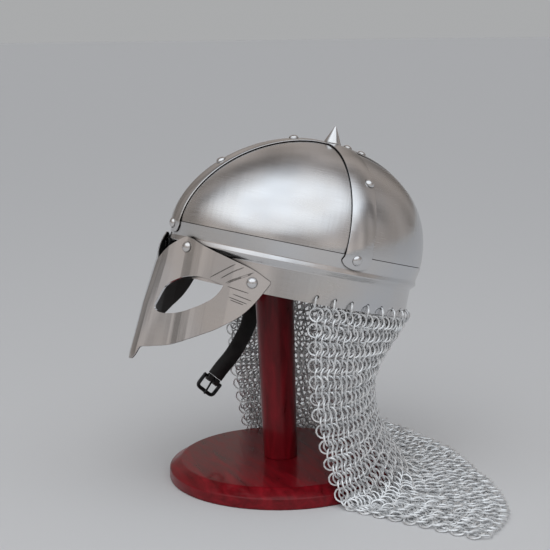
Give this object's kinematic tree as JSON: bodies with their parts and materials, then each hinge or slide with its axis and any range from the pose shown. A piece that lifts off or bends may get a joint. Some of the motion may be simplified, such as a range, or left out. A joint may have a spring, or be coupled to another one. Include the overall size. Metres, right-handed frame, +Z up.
{
  "type": "spangenhelm helmet on a wooden stand",
  "caption": "Riveted steel spangenhelm with spectacle eye guard, mail curtain, chin strap and crown spike, tipped back on its turned lacquered wooden stand",
  "frame": {"origin": "centre of the flat underside of the stand's base, on the floor", "axes": "+Z up; the helmet faces -Y; +X is the wearer's left"},
  "size_m": [0.448, 0.3146, 0.3158],
  "materials": {
    "polished_steel": "polished steel plate with faint wiping marks",
    "rivet_steel": "bright polished steel heads",
    "mail": "zinc grey wire links",
    "lacquered_wood": "glossy red cherry lacquer",
    "black_leather": "black strap leather",
    "dark_iron": "dark iron buckle"
  },
  "bodies": {
    "helmet_and_stand": {"brow_band": "polished_steel", "chin_strap": "black_leather", "crest_band": "polished_steel", "crest_rivet_1": "rivet_steel", "crest_rivet_2": "rivet_steel", "crest_rivet_3": "rivet_steel", "crest_rivet_4": "rivet_steel", "crest_rivet_5": "rivet_steel", "crest_rivet_6": "rivet_steel", "crest_rivet_7": "rivet_steel", "crown_spike": "rivet_steel", "dome_plate_1": "polished_steel", "dome_plate_2": "polished_steel", "dome_plate_3": "polished_steel", "dome_plate_4": "polished_steel", "guard_rivet_1": "rivet_steel", "guard_rivet_2": "rivet_steel", "guard_rivet_3": "rivet_steel", "guard_rivet_4": "rivet_steel", "mail_curtain_left": "mail", "mail_curtain_right": "mail", "side_band_left": "polished_steel", "side_band_right": "polished_steel", "side_rivet_left_1": "rivet_steel", "side_rivet_left_2": "rivet_steel", "side_rivet_right_1": "rivet_steel", "side_rivet_right_2": "rivet_steel", "spectacle_guard": "polished_steel", "stand_base": "lacquered_wood", "stand_cap": "lacquered_wood", "stand_post": "lacquered_wood"},
    "buckle": {"buckle_frame": "dark_iron"},
    "prong": {"buckle_prong": "dark_iron"}
  },
  "joints": [
    {"name": "buckle_swing", "type": "hinge", "parent": "helmet_and_stand", "child": "buckle", "pos_m": [-0.08, -0.03604, 0.07317], "axis": [0, 0.7512, -0.6601], "range_deg": [-50, 50]},
    {"name": "prong_swing", "type": "hinge", "parent": "buckle", "child": "prong", "pos_m": [-0.08, -0.03604, 0.07317], "axis": [0, 0.7512, -0.6601], "range_deg": [-80, 2]}
  ]
}
